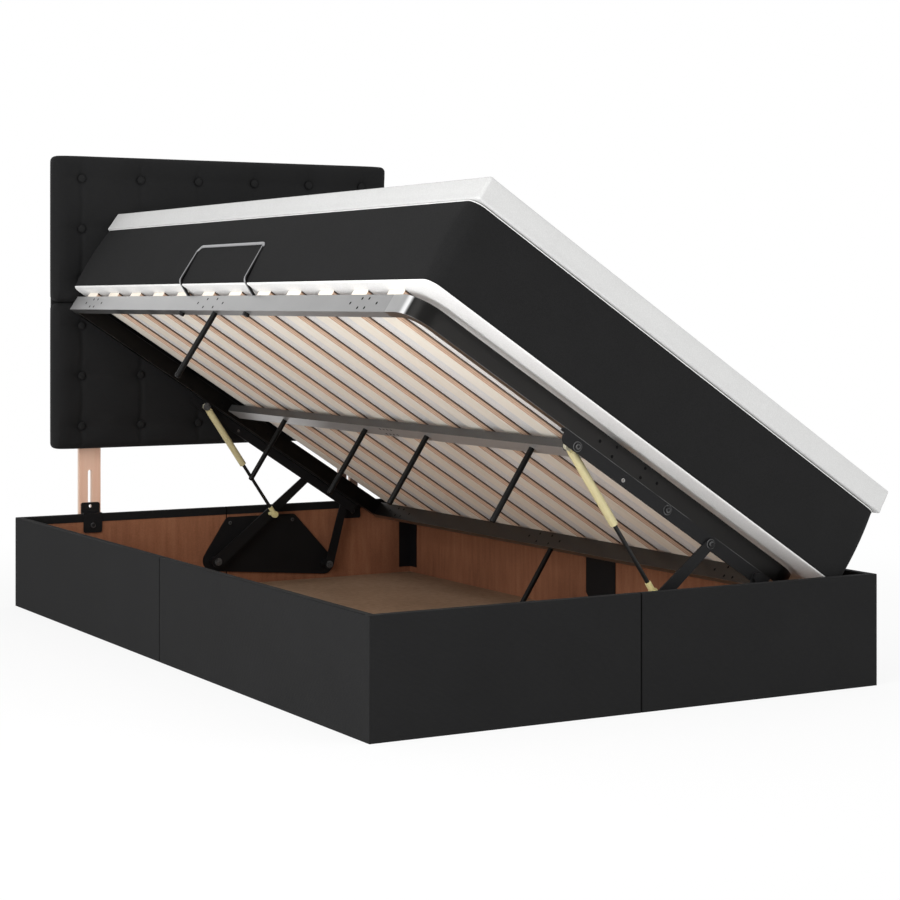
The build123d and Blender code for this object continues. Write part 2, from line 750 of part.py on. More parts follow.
for side, name, face_y, inner_face_y in ends:
    with BuildPart() as lift_plate:
        with BuildSketch(deck_section(face_y)) as flange:
            between(plate_start_u, plate_end_u, frame_bottom_w - plate_depth, frame_bottom_w)
            fillet(flange.vertices().sort_by(Axis.Y)[:2].sort_by(Axis.X)[0], plate_corner_radius)
            with Locations((spare_hole_u, pivot_w)):
                Circle(spare_hole_radius, mode=Mode.SUBTRACT)
        extrude(amount=side * plate_thickness)
        with BuildSketch(deck.offset(frame_bottom_w)):
            between(plate_start_u, plate_end_u, face_y, face_y - side * tube_width)
        extrude(amount=-plate_thickness)
        with BuildSketch(deck_section(face_y - side * plate_thickness)):
            with Locations((strut_pivot_u, pivot_w)):
                Circle(strut_pin_radius)
        extrude(amount=side * (strut_inset + strut_eye_thickness / 2 + face_clearance - plate_thickness))
        with BuildSketch(deck_section(face_y)):
            with Locations((arm_pivot_u, pivot_w)):
                Circle(journal_radius)
        extrude(amount=-side * (2 * face_clearance + arm_thickness))
    keep(lift_plate, f"lift_plate_{name}")

with BuildPart() as deck_fasteners:
    for side, name, face_y, inner_face_y in ends:
        with BuildSketch(deck_section(face_y + side * (2 * face_clearance + arm_thickness))):
            with Locations((arm_pivot_u, pivot_w)):
                RegularPolygon(nut_radius, hex_sides)
        extrude(amount=-side * nut_thickness)
        eye_face_y = face_y - side * (strut_inset + strut_eye_thickness / 2 + face_clearance)
        with BuildSketch(deck_section(eye_face_y)):
            with Locations((strut_pivot_u, pivot_w)):
                RegularPolygon(nut_radius, hex_sides)
        extrude(amount=side * nut_thickness)
        with BuildSketch(deck_section(face_y)):
            with Locations((plate_bolt_u, frame_bottom_w - plate_bolt_drop)):
                RegularPolygon(bolt_head_radius, hex_sides)
        extrude(amount=-side * bolt_head_height)
    with BuildSketch(deck.offset(frame_bottom_w)):
        with Locations(*loop_spots):
            RegularPolygon(bolt_head_radius, hex_sides)
    extrude(amount=-nut_thickness)
keep(deck_fasteners, "deck_fasteners")

# Mattress and topper, with drawn-in sides and rounded edges


def soft_slab(span, start_y, end_y, bottom_w, top_w, corner_radius, draw_in, edge_bevel):
    """A soft slab on the deck, widest half way up."""
    with BuildPart() as slab:
        for height, inset in ((bottom_w, draw_in), ((bottom_w + top_w) / 2, 0), (top_w, draw_in)):
            with BuildSketch(deck.offset(height)):
                with Locations((mattress_middle_u, (start_y + end_y) / 2)):
                    RectangleRounded(span - 2 * inset, end_y - start_y - 2 * inset,
                                     corner_radius - inset)
        loft(ruled=True)
        flat = slab.faces().sort_by(Axis((0, 0, 0), upward))
        chamfer(flat[0].edges() + flat[-1].edges(), edge_bevel)
    return slab


mattress = soft_slab(mattress_width, mattress_foot_y, mattress_head_y, soft_clearance,
                     mattress_thickness, mattress_corner_radius, mattress_draw_in,
                     mattress_edge_bevel)
keep(mattress, "mattress")
topper = soft_slab(mattress_width + 2 * topper_overhang, mattress_foot_y - topper_foot_overhang,
                   mattress_head_y + topper_head_overhang, mattress_thickness + soft_clearance,
                   mattress_thickness + soft_clearance + topper_thickness, topper_corner_radius,
                   topper_draw_in, topper_edge_bevel)
keep(topper, "topper")
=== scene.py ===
import math

import bmesh
import bpy
import numpy as np
from mathutils import Matrix, Vector


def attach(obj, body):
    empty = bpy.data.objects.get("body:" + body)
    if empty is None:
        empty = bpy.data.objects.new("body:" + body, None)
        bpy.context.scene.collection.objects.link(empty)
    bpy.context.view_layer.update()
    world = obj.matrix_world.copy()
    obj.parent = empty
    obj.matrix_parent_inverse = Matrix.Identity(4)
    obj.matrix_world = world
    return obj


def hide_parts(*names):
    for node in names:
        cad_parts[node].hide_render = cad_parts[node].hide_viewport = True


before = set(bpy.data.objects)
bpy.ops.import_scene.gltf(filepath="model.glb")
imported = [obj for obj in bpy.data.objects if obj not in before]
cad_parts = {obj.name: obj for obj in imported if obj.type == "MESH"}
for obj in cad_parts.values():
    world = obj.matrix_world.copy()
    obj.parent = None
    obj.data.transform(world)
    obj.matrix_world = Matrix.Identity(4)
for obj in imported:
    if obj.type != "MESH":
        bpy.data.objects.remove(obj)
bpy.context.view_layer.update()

# Metres. X runs across the bed to the hinge side, Y towards the headboard and Z up. Places on the
# raised deck are given as u, across from the mattress's raised edge, y, and w, up from the slats.

tilt = math.radians(33.1)
across = Vector((math.cos(tilt), 0, -math.sin(tilt)))
upward = Vector((math.sin(tilt), 0, math.cos(tilt)))
frame_far_u = 1.126
frame_far_x = 0.4773
frame_far_z = 0.2301
deck_origin = Vector((
    frame_far_x - frame_far_u * across.x, 0, frame_far_z - frame_far_u * across.z))
deck_place = Matrix((
    (across.x, 0, upward.x, deck_origin.x),
    (0, 1, 0, 0),
    (across.z, 0, upward.z, deck_origin.z),
    (0, 0, 0, 1),
))

# Box
box_half_width = 0.6
box_half_length = 1.015
box_height = 0.234
panel_thickness = 0.0174
panel_seam = 0.0005
cloth_fold = 0.021
cloth_thickness = 0.0011
cloth_edge = 0.0018
inner_half_length = box_half_length - panel_thickness

# Deck and lift
deck_middle_u = 0.578
open_rail_u = 0.040
hinge_rail_u = 1.116
rail_middle_w = -0.032
rail_bottom_w = -0.052
beam_bottom_w = -0.042
pivot_w = -0.069
frame_foot_y = -0.926
frame_head_y = 0.958
strut_pivot_u = 0.492
spare_hole_u = 0.622
plate_bolt_u = 0.748
plate_bolt_w = -0.064
arm_pivot_u = 0.876
arm_thickness = 0.0056
strut_nut_depth = 0.0383
loop_foot_y = -0.165
loop_head_y = 0.204
loop_end_w = rail_bottom_w - 0.004
loop_step_w = -0.014
loop_knee_w = 0.0070
loop_top_w = 0.103
loop_stand_u = -0.0045
rail_leg_y = 0.009
rail_leg_length = 0.1722
beam_leg_middle_y = -0.005
beam_leg_spans = (0.307, 1.224)
beam_leg_length = 0.1822
leg_rod_radius = 0.0065
leg_cap_radius = 0.0068
arm_pin = (-0.0409, 0.088)
link_pin = (0.3004, 0.060)
plate_ears = ((0.0091, 0.190), (0.2004, 0.190))
plate_thickness = 0.0045
strut_foot = Vector((0.11389, 0, 0.21409))
strut_top = deck_place @ Vector((strut_pivot_u, 0, pivot_w))
strut_line = (strut_foot - strut_top).normalized()
strut_reach = (strut_foot - strut_top).length

# Mattress and topper
mattress_width = 1.176
mattress_foot_y = -0.9965
mattress_head_y = 0.962
mattress_bottom_w = 0.0005
mattress_top_w = 0.184
mattress_corner = 0.030
underside_edge_w = 0.0045
cover_seam = 0.0006
topper_width = mattress_width + 0.003
topper_foot_y = mattress_foot_y - 0.007
topper_head_y = mattress_head_y + 0.003
topper_top_w = 0.2385
topper_corner = 0.010
pad_spacing = 0.026

# Headboard
headboard_middle_x = -0.009
headboard_width = 1.002
headboard_front_y = 0.968
headboard_board_y = 1.006
cushion_height = 0.392
cushion_play = 0.002
cushion_corner = 0.015
cushion_round = 0.014
cushion_middles = {"upper": 1.0, "lower": 0.607}
tuft_columns = [(i - 2.5) * 0.168 for i in range(6)]
tuft_rows = [(j - 1) * 0.1345 for j in range(3)]
button_sink = 0.0105
leg_x = 0.391
leg_back_y = 1.032
leg_bolt_heights = (0.480, 0.930)
clamp_front_y = 0.9946
clamp_bolt_z = 0.204

# Hollows of the cushions, each its depth and its width
button_dent = (0.007, 0.011)
tuft_hollow = (0.006, 0.028)
upright_fold = (0.0030, 0.007)
level_fold = (0.0020, 0.012)

# Where finishes, painted shade and painted highlights change, each from one distance to another
seam_shade = (0.0012, 0.0026)
strut_eye = (0.0036, 0.0044)
strut_cap = (0.006, 0.009)
strut_fitting = (strut_reach - 0.026, strut_reach - 0.024)
edge_highlight_band = (0.0188, 0.0196)

# Painted shadow on the slats' top edges, and small painted holes in the tubes
edge_shadow_fade = 0.0034
screw_hole_radius = 0.0034
screw_hole_edge = 0.0003


class Value:
    """An output socket that can be used in sums, so that shader maths reads as an expression."""

    def __init__(self, nodes, socket):
        self.nodes = nodes
        self.socket = socket

    def maths(self, operation, *others):
        return self.nodes.node("ShaderNodeMath", {"operation": operation},
                               dict(enumerate((self, *others))))

    def __add__(self, other):
        return self.maths("ADD", other)

    __radd__ = __add__

    def __sub__(self, other):
        return self.maths("SUBTRACT", other)

    def __rsub__(self, other):
        return self.maths("MULTIPLY", -1.0) + other

    def __mul__(self, other):
        return self.maths("MULTIPLY", other)

    __rmul__ = __mul__

    def __abs__(self):
        return self.maths("ABSOLUTE")

    def least(self, other):
        return self.maths("MINIMUM", other)

    def most(self, other):
        return self.maths("MAXIMUM", other)

    def between(self, low, high):
        """0 below low, 1 above high, and smooth from one to the other."""
        return self.nodes.node("ShaderNodeMapRange", {"interpolation_type": "SMOOTHSTEP"},
                               {"Value": self, "From Min": low, "From Max": high})

    def wave(self, length):
        """0 to 1 and back in each length."""
        return (self * (2 * math.pi / length)).maths("SINE") * 0.5 + 0.5


class Nodes:
    """The nodes of a finish or of a repeat."""

    def __init__(self, tree):
        self.tree = tree

    def feed(self, socket, value):
        if isinstance(value, Value):
            self.tree.links.new(value.socket, socket)
        else:
            socket.default_value = value

    def node(self, kind, settings=None, sockets=None, output=0):
        made = self.tree.nodes.new(kind)
        for key, value in (settings or {}).items():
            if key == "stops":
                ramp = made.color_ramp.elements
                while len(ramp) < len(value):
                    ramp.new(1.0)
                for stop, (place, tone) in zip(ramp, value):
                    stop.position = place
                    stop.color = (*tone, 1)
            else:
                setattr(made, key, value)
        for key, value in (sockets or {}).items():
            self.feed(made.inputs[key], value)
        return Value(self, made.outputs[output]) if len(made.outputs) else None


def solid(value):
    """A colour of three numbers gets its alpha, and anything else stays."""
    return (*value, 1.0) if isinstance(value, tuple) and len(value) == 3 else value


def scaled(tone, share):
    return tuple(min(1.0, c * share) for c in tone)


class Finish(Nodes):
    """A procedural finish on one of the bed's surfaces."""

    def __init__(self, name):
        self.material = bpy.data.materials.new(name)
        self.material.use_nodes = True
        super().__init__(self.material.node_tree)
        self.tree.nodes.clear()
        self.place = self.node("ShaderNodeTexCoord", output=3)

    def parts(self, vector):
        """x, y and z of a vector as three values."""
        split = self.node("ShaderNodeSeparateXYZ", None, {0: vector})
        return [Value(self, split.socket.node.outputs[i]) for i in range(3)]

    def axes(self):
        return self.parts(self.place)

    def deck_axes(self):
        """u, y and w of the raised deck."""
        x, y, z = self.axes()
        x, z = x - deck_origin.x, z - deck_origin.z
        return x * across.x + z * across.z, y, x * upward.x + z * upward.z

    def facing(self):
        """The way that the surface faces, as three values."""
        return self.parts(self.node("ShaderNodeTexCoord", output=1))

    def at(self, x, y, z):
        return self.node("ShaderNodeCombineXYZ", None, {0: x, 1: y, 2: z})

    def noise(self, scale, place=None, detail=3.0, roughness=0.55):
        return self.node("ShaderNodeTexNoise", None,
                         {"Vector": place or self.place, "Scale": scale, "Detail": detail,
                          "Roughness": roughness})

    def cells(self, scale, place=None):
        """The distance from the nearest of many scattered points."""
        return self.node("ShaderNodeTexVoronoi", None,
                         {"Vector": place or self.place, "Scale": scale})

    def ramp(self, value, *stops):
        return self.node("ShaderNodeValToRGB", {"stops": stops}, {0: value})

    def mixed(self, share, first, second):
        """A colour that goes from first to second with share."""
        return self.node("ShaderNodeMix", {"data_type": "RGBA"},
                         {0: share, 6: solid(first), 7: solid(second)}, output=2)

    def relief(self, height, depth, strength):
        """A normal from a height of 0 to 1, which stands for depth in metres."""
        return self.node("ShaderNodeBump", None,
                         {"Height": height, "Distance": depth, "Strength": strength})

    def surface(self, **sockets):
        """Ends the finish in one Principled surface."""
        named = {key.replace("_", " "): solid(value) for key, value in sockets.items()}
        shader = self.node("ShaderNodeBsdfPrincipled", None, named)
        self.node("ShaderNodeOutputMaterial", None, {0: shader})
        return self.material


def woven(name, dark, light, thread, depth, seamed=False):
    """Upholstery cloth in plain weave, for upright panels that run along X or Y.

    Where it is seamed, painted shade darkens it into the seams half way along the panels."""
    f = Finish(name)
    x, y, z = f.axes()
    run = x + y + f.noise(35.0, detail=1.0) * thread
    rise = z + f.noise(30.0, detail=1.0) * thread
    over = (run * (math.pi / thread)).maths("SINE") * (rise * (math.pi / thread)).maths("SINE")
    weave = over.between(-0.6, 0.6)
    weft, warp = run.wave(thread * 2), rise.wave(thread * 2)
    height = weave * weft.most(warp) + (1 - weave) * warp
    slub = f.noise(260.0, f.at(run * 0.25, 0.0, z), 2.0)
    patch = f.noise(5.0, detail=2.0)
    share = (height * 0.4 + slub * 0.35 + patch * 0.4).between(0.25, 0.95)
    colour = f.mixed(share, dark, light)
    if seamed:
        # Painted shade: a near-black line along each seam, where the groove is in shadow.
        clear = abs(x).least(abs(y)).between(*seam_shade)
        colour = f.mixed(clear, (0.0015, 0.0015, 0.0015), colour)
    return f.surface(
        Base_Color=colour,
        Roughness=0.92 - 0.1 * height,
        Sheen_Weight=0.02, Sheen_Roughness=0.5,
        Specular_IOR_Level=0.06,
        Normal=f.relief(height + slub * 0.5, depth, 0.8))


def knitted(name, tone, shade, stitch, depth, quilt=0.0):
    """Mattress cloth in a fine knit, with a quilting pattern pressed in where quilt is above 0."""
    f = Finish(name)
    u, y, w = f.deck_axes()
    loops = 1 - f.cells(1 / stitch, f.at(u, y * 0.6, w)).between(0.1, 0.75)
    soft = f.noise(9.0, detail=3.0)
    height = loops * 0.25 + soft * 0.35
    if quilt:
        first = ((u + y) * (math.pi / quilt)).maths("SINE")
        second = ((u - y) * (math.pi / quilt)).maths("SINE")
        height = height * 0.12 + abs(first).least(abs(second)).between(0.0, 0.35)
    fleck = f.noise(420.0, detail=1.0)
    share = (loops * 0.35 + fleck * 0.3 + soft * 0.4).between(0.2, 0.9)
    return f.surface(
        Base_Color=f.mixed(share, shade, tone),
        Roughness=0.93 - 0.08 * loops,
        Sheen_Weight=0.02, Sheen_Roughness=0.5,
        Specular_IOR_Level=0.05,
        Normal=f.relief(height, depth, 0.7))


def timber(name, face_stops, edge_stops, axes, along, edge_side, layer, layer_pitch,
           edge_shadow_from=None):
    """Wood with its grain along one axis, and layers along another that show on the cut edges.

    From the given height up, the cut edges are darkened with painted shadow where they meet the
    mattress."""
    f = Finish(name)
    parts = axes(f)

    def drawn_out(share):
        return f.at(*[p * share if i == along else p for i, p in enumerate(parts)])

    grain = f.noise(95.0, drawn_out(0.05), 4.0, 0.6)
    band = f.noise(16.0, drawn_out(0.06), 2.0)
    pores = f.noise(520.0, drawn_out(0.02), 1.0)
    board = f.noise(3.0, drawn_out(0.15), 1.0)
    face = f.ramp(grain * 0.45 + band * 0.35 + board * 0.25, *face_stops)
    edge = f.ramp(parts[layer].wave(layer_pitch) * 0.45 + grain * 0.6, *edge_stops)
    side = abs(f.facing()[edge_side])
    colour = f.mixed(side.between(0.45, 0.65), face, edge)
    if edge_shadow_from is not None:
        height = parts[layer]
        # Painted shadow: the top of the cut edges turns near-black, where they meet the mattress.
        edge_shadow = side.between(0.3, 0.5) * height.between(edge_shadow_from, edge_shadow_from + edge_shadow_fade)
        colour = f.mixed(edge_shadow, colour, (0.045, 0.018, 0.010))
    return f.surface(
        Base_Color=colour,
        Roughness=0.55 + 0.2 * pores,
        Specular_IOR_Level=0.25,
        Normal=f.relief(grain * 0.6 + pores * 0.4, 0.0004, 0.5))


def hardboard(name, dark, middle, light):
    """Coloured fibreboard with fine upright streaks and flecks."""
    f = Finish(name)
    x, y, z = f.axes()
    streak = f.noise(60.0, f.at(x, y, z * 0.12), 3.0)
    fleck = f.noise(330.0, detail=2.0)
    share = streak * 0.4 + fleck * 0.25 + f.noise(4.0, detail=2.0) * 0.4
    return f.surface(
        Base_Color=f.ramp(share, (0.3, dark), (0.55, middle), (0.8, light)),
        Roughness=0.62 + 0.2 * fleck,
        Specular_IOR_Level=0.25,
        Normal=f.relief(fleck * 0.5 + streak * 0.5, 0.0003, 0.4))


wide_hexagon = ((0.0710, 0.0), (0.0280, 0.011))
hexagon = ((0.0565, 0.0), (0.0150, 0.011))
foot_hexagon = ((0.082, 0.0), (0.041, 0.011))
cluster = ((0.028, 0.011), (0.009, 0.011))


def drilled(along, square, groups):
    """1 inside small screw holes.

    A group is its middle, and how far each of its holes lies along and square to the tube."""
    nearest = None
    for middle, spots in groups:
        away = abs(along - middle)
        for far, side in spots:
            step, up = away - far, abs(square) - side
            gap = (step * step + up * up).maths("SQRT")
            nearest = gap if nearest is None else nearest.least(gap)
    return 1 - nearest.between(screw_hole_radius - screw_hole_edge,
                               screw_hole_radius + screw_hole_edge)


def tube_steel(name, tone, painted_shade_and_highlight, holes, rough=0.3, metal=1.0, ends=(1.0, 1.0)):
    """Steel tube with painted screw holes and edge highlights, and a share in painted shade and
    reflection.

    Ends are the tone's strength at the foot and at the headboard, a painted gradient of light along
    the tube."""
    f = Finish(name)
    u, y, w = f.deck_axes()
    hole = holes(u, y, w)
    smear = f.noise(11.0, detail=3.0)
    pit = f.noise(700.0, detail=1.0)
    # Painted light: from the foot to the headboard the tone goes from one end's strength to the
    # other's.
    shade = f.mixed((y.between(-1.0, 1.0) + smear * 0.3 - 0.15).least(1.0).most(0.0),
                    scaled(tone, ends[0]), scaled(tone, ends[1]))
    dark, glint = painted_shade_and_highlight(f, y)
    # Painted highlight where glint is above 0, then painted shade and dark reflection where dark
    # is.
    shade = f.mixed(glint, shade, (0.9, 0.9, 0.9))
    shade = f.mixed(dark, shade, (0.0170, 0.0165, 0.0160))
    # Painted highlight along the long edges of the darkened parts, in patches.
    rub_marks_and_edge_highlight = abs(w - rail_middle_w).between(*edge_highlight_band) * smear.between(0.3, 0.6)
    shade = f.mixed(rub_marks_and_edge_highlight * dark * 0.3, shade, (0.3, 0.3, 0.3))
    return f.surface(
        # The screw holes are painted: near-black, standing for the shade inside the tube.
        Base_Color=f.mixed(hole, shade, (0.003, 0.003, 0.003)),
        Metallic=(1 - hole) * metal,
        Roughness=(smear * 0.12 + rough).most(hole * 0.9),
        Specular_IOR_Level=0.1,
        Normal=f.relief(pit * 0.2 - hole, 0.0006, 0.5))


def powder_coat(name, tone, worn=0.0, rough=0.42, gloss=0.12):
    """Baked powder paint with its fine orange peel, and worn, paler edges on small turned parts."""
    f = Finish(name)
    peel = f.noise(900.0, detail=1.0)
    smear = f.noise(14.0, detail=3.0)
    shade = f.mixed(smear, scaled(tone, 0.8), scaled(tone, 1.25))
    if worn:
        edge = f.node("ShaderNodeNewGeometry", output=7).between(0.505, 0.56)
        rub = edge * f.noise(60.0, detail=3.0).between(0.3, 0.6) * worn
        shade = f.mixed(rub, shade, (0.16, 0.16, 0.16))
    return f.surface(
        Base_Color=shade,
        Roughness=smear * 0.16 + rough,
        Specular_IOR_Level=gloss,
        Normal=f.relief(peel, 0.00025, 0.35))


def wire_enamel(name):
    """Black enamel on the wire loop, with painted highlights along its top bar and its outer side.
    """
    f = Finish(name)
    w = f.deck_axes()[2]
    fx, fy, fz = f.facing()
    patch = f.noise(50.0, detail=2.0).between(0.2, 0.5)
    # Painted highlight along the top bar's upper side, in patches.
    top_highlight = w.between(0.092, 0.0985) * fz.between(-0.35, 0.1) * (patch * 0.3 + 0.7)
    # Painted highlight down the loop's outer side.
    side_glint = (fx * -1).between(0.55, 0.90) * 0.85
    share = top_highlight.most(side_glint)
    return f.surface(
        Base_Color=f.mixed(share, (0.004, 0.004, 0.004), (0.42, 0.42, 0.43)),
        Metallic=share,
        Roughness=patch * 0.1 + 0.25,
        Specular_IOR_Level=0.15,
        Normal=f.relief(patch, 0.0001, 0.3))


def plated(name, tone):
    """Zinc plating with its faint crystal pattern and rub marks."""
    f = Finish(name)
    spangle = f.cells(160.0)
    rub_marks_and_edge_highlight = f.noise(40.0, detail=4.0)
    return f.surface(
        Base_Color=f.mixed(spangle * 0.6 + rub_marks_and_edge_highlight * 0.4, scaled(tone, 0.75), tone),
        Metallic=1.0,
        Roughness=rub_marks_and_edge_highlight * 0.25 + 0.32,
        Normal=f.relief(rub_marks_and_edge_highlight, 0.0002, 0.3))


def strut_finish(name, tone, banded):
    """Strut paint, with painted shade in the middle of the eye at its top.

    Banded takes the place along the strut, and gives another tone's share there and that tone."""
    f = Finish(name)
    x, y, z = f.axes()
    right, up = x - strut_top.x, z - strut_top.z
    share, other = banded(right * strut_line.x + up * strut_line.z)
    scuff = f.noise(45.0, f.at(x, y * 3, z), 3.0)
    paint = f.mixed(scuff.between(0.3, 0.8), scaled(tone, 0.9), tone)
    radius = (right * right + up * up).maths("SQRT")
    painted = f.mixed(share, paint, other)
    return f.surface(
        # Painted shade: near-black in the middle of the eye, where its hole is.
        Base_Color=f.mixed(radius.between(*strut_eye), (0.006, 0.006, 0.006), painted),
        Roughness=scuff * 0.2 + 0.32,
        Specular_IOR_Level=0.25,
        Normal=f.relief(scuff, 0.0002, 0.25))


box_cloth = woven("box_cloth", (0.0112, 0.0112, 0.0115), (0.0158, 0.0158, 0.0161),
                  thread=0.0011, depth=0.0004, seamed=True)
headboard_cloth = woven("headboard_cloth", (0.0115, 0.0115, 0.0118), (0.0172, 0.0172, 0.0175),
                        thread=0.0009, depth=0.0003)
button_cloth = woven("button_cloth", (0.0110, 0.0110, 0.0112), (0.0180, 0.0180, 0.0182),
                     thread=0.0009, depth=0.0002)
back_lining = woven("back_lining", (0.010, 0.010, 0.010), (0.022, 0.022, 0.022),
                    thread=0.0016, depth=0.0004)
border_cloth = knitted("mattress_border", (0.0165, 0.0165, 0.0167), (0.0120, 0.0120, 0.0122),
                       stitch=0.0019, depth=0.0003)
underside_cloth = knitted("mattress_underside", (0.86, 0.855, 0.845), (0.76, 0.755, 0.745),
                          stitch=0.0026, depth=0.0004)
topper_cloth = knitted("topper_cloth", (0.61, 0.61, 0.605), (0.55, 0.55, 0.545),
                       stitch=0.0028, depth=0.0005)
quilted_cloth = knitted("topper_quilting", (0.61, 0.61, 0.605), (0.55, 0.55, 0.545),
                        stitch=0.0028, depth=0.009, quilt=0.16)
piping_cloth = knitted("piping_cloth", (0.86, 0.86, 0.85), (0.74, 0.74, 0.73),
                       stitch=0.0012, depth=0.0002)
slat_birch = timber(
    "slat_birch",
    ((0.2, (0.84, 0.72, 0.59)), (0.5, (0.93, 0.86, 0.75)), (0.8, (0.95, 0.92, 0.86))),
    ((0.2, (0.52, 0.33, 0.22)), (0.55, (0.68, 0.48, 0.35)), (0.85, (0.80, 0.61, 0.47))),
    Finish.deck_axes, along=0, edge_side=1, layer=2, layer_pitch=0.0034, edge_shadow_from=-0.0052)
leg_pine = timber(
    "leg_pine",
    ((0.2, (0.64, 0.35, 0.24)), (0.5, (0.80, 0.50, 0.37)), (0.8, (0.88, 0.64, 0.50))),
    ((0.2, (0.55, 0.34, 0.25)), (0.6, (0.78, 0.60, 0.48)), (0.85, (0.86, 0.70, 0.60))),
    Finish.axes, along=2, edge_side=0, layer=1, layer_pitch=0.0046)
box_hardboard = hardboard(
    "box_hardboard", (0.17, 0.068, 0.034), (0.30, 0.124, 0.064), (0.43, 0.20, 0.105))
floor_hardboard = hardboard(
    "floor_hardboard", (0.20, 0.12, 0.07), (0.34, 0.22, 0.14), (0.44, 0.31, 0.21))
black_coat = powder_coat("black_powder_coat", (0.0095, 0.0095, 0.0100))
rod_coat = powder_coat("rod_powder_coat", (0.0035, 0.0033, 0.0032), rough=0.30, gloss=0.15)
blackened = powder_coat("black_zinc", (0.0070, 0.0070, 0.0075), worn=0.45, rough=0.34, gloss=0.2)
loop_enamel = wire_enamel("wire_enamel")
zinc_plate = plated("zinc_plate", (0.42, 0.41, 0.40))


def rail_holes(u, y, w):
    return drilled(y, w - rail_middle_w,
                   ((0.805, hexagon), (0.044, wide_hexagon), (-0.717, hexagon)))


def foot_holes(u, y, w):
    return drilled(u, w - rail_middle_w, ((0.614, foot_hexagon),))


def beam_holes(u, y, w):
    return drilled(y, u - deck_middle_u, ((0.028, cluster),))


def downwards(f):
    """1 on the faces that look down and away from the deck."""
    fx, fy, fz = f.facing()
    return (fx * -upward.x - fz * upward.z).between(0.75, 0.95)


def dark_reflection_underside(f, y):
    """The raised rail's underside gets a painted dark reflection, growing towards the headboard."""
    return downwards(f) * y.between(-0.35, 0.35) * 0.92, 0.0


def shaded_inside(f, y):
    """The hinge rail is darkened by painted shade all round, and its underside half as much."""
    return (1 - downwards(f) * 0.5) * 0.85, 0.0


def black_end(f, y):
    """The rail at the headboard is black all round."""
    return 1.0, 0.0


def shaded_upper_side(f, y):
    """The beam's side is darkened by painted shade and dark reflection, and its underside stays
    bright.
    """
    return f.facing()[2].between(-0.3, 0.2) * 0.86, 0.0


def bend_blend(f, y):
    """Bright along the side rails, with a painted highlight where they bend, and a painted dark
    reflection on the foot rail's face.
    """
    run = y - frame_foot_y
    outwards = f.facing()[1] * -1
    # Painted dark reflection on the foot rail's outward face.
    outer = outwards.between(0.25, 0.5) * (1 - run.between(0.0280, 0.0345))
    # Painted highlight at the start of each bend.
    bend_highlight = run.between(0.030, 0.036) * (1 - run.between(0.038, 0.049))
    return outer, bend_highlight * outwards.between(0.1, 0.3) * 0.9


def yellow_band(line):
    """The strut's cylinder is duller round its eye."""
    return 1 - line.between(*strut_cap), (0.42, 0.40, 0.30)


def fitting_band(line):
    """The rod ends in a yellow fitting."""
    return line.between(*strut_fitting), (0.74, 0.66, 0.33)


# The raised rail is painted brighter towards the headboard, with a painted dark reflection on its
# underside.
bright_rail = tube_steel("bright_rail", (0.43, 0.43, 0.43), dark_reflection_underside, rail_holes,
                         metal=0.6, ends=(0.64, 1.12))
dark_rail = tube_steel("dark_rail", (0.40, 0.36, 0.33), shaded_inside, rail_holes)
foot_rail = tube_steel("foot_rail", (0.41, 0.41, 0.41), bend_blend, foot_holes, rough=0.26)
beam_steel = tube_steel("beam_steel", (0.44, 0.435, 0.43), shaded_upper_side, beam_holes,
                        rough=0.24, metal=0.45)
black_rail = tube_steel("black_rail", (0.41, 0.41, 0.41), black_end, foot_holes)
strut_yellow = strut_finish("strut_yellow", (0.60, 0.53, 0.30), yellow_band)
strut_dark = strut_finish("strut_rod_dark", (0.011, 0.011, 0.011), fitting_band)


def coated(mesh, *materials):
    """Gives a mesh these materials and no others."""
    mesh.materials.clear()
    for material in materials:
        mesh.materials.append(material)


finishes = (
    ("slat_", slat_birch),
    (("foot_board", "head_board", "open_side_board", "hinge_side_board"), box_hardboard),
    ("floor_board", floor_hardboard),
    ("headboard_leg", leg_pine),
    ("headboard_backboard", back_lining),
    ("rail_open_side", bright_rail),
    ("rail_hinge_side", dark_rail),
    ("rail_foot", foot_rail),
    ("rail_head", black_rail),
    ("centre_beam", beam_steel),
    ("strut_cylinder", strut_yellow),
    ("strut_rod", strut_dark),
)
for node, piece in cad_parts.items():
    coated(piece.data, next((f for start, f in finishes if node.startswith(start)), black_coat))


def shown(name, mesh, *materials):
    """An object at the origin with this mesh."""
    piece = bpy.data.objects.new(name, mesh)
    bpy.context.scene.collection.objects.link(piece)
    if materials:
        coated(mesh, *materials)
    return piece


def baked(piece):
    """The piece with its modifiers turned into plain mesh."""
    bpy.context.view_layer.update()
    graph = bpy.context.evaluated_depsgraph_get()
    mesh = bpy.data.meshes.new_from_object(piece.evaluated_get(graph), depsgraph=graph)
    name = piece.name
    bpy.data.objects.remove(piece)
    mesh.name = name
    return shown(name, mesh)


def smooth(piece):
    """Smooth shading all over the piece."""
    for face in piece.data.polygons:
        face.use_smooth = True
    return piece


def rode(piece, body, nodes):
    """Hands a finished piece to its body, in place of these CAD nodes."""
    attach(piece, body)
    if nodes:
        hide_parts(*nodes)
    return piece


# Pads

fill_frames = 20


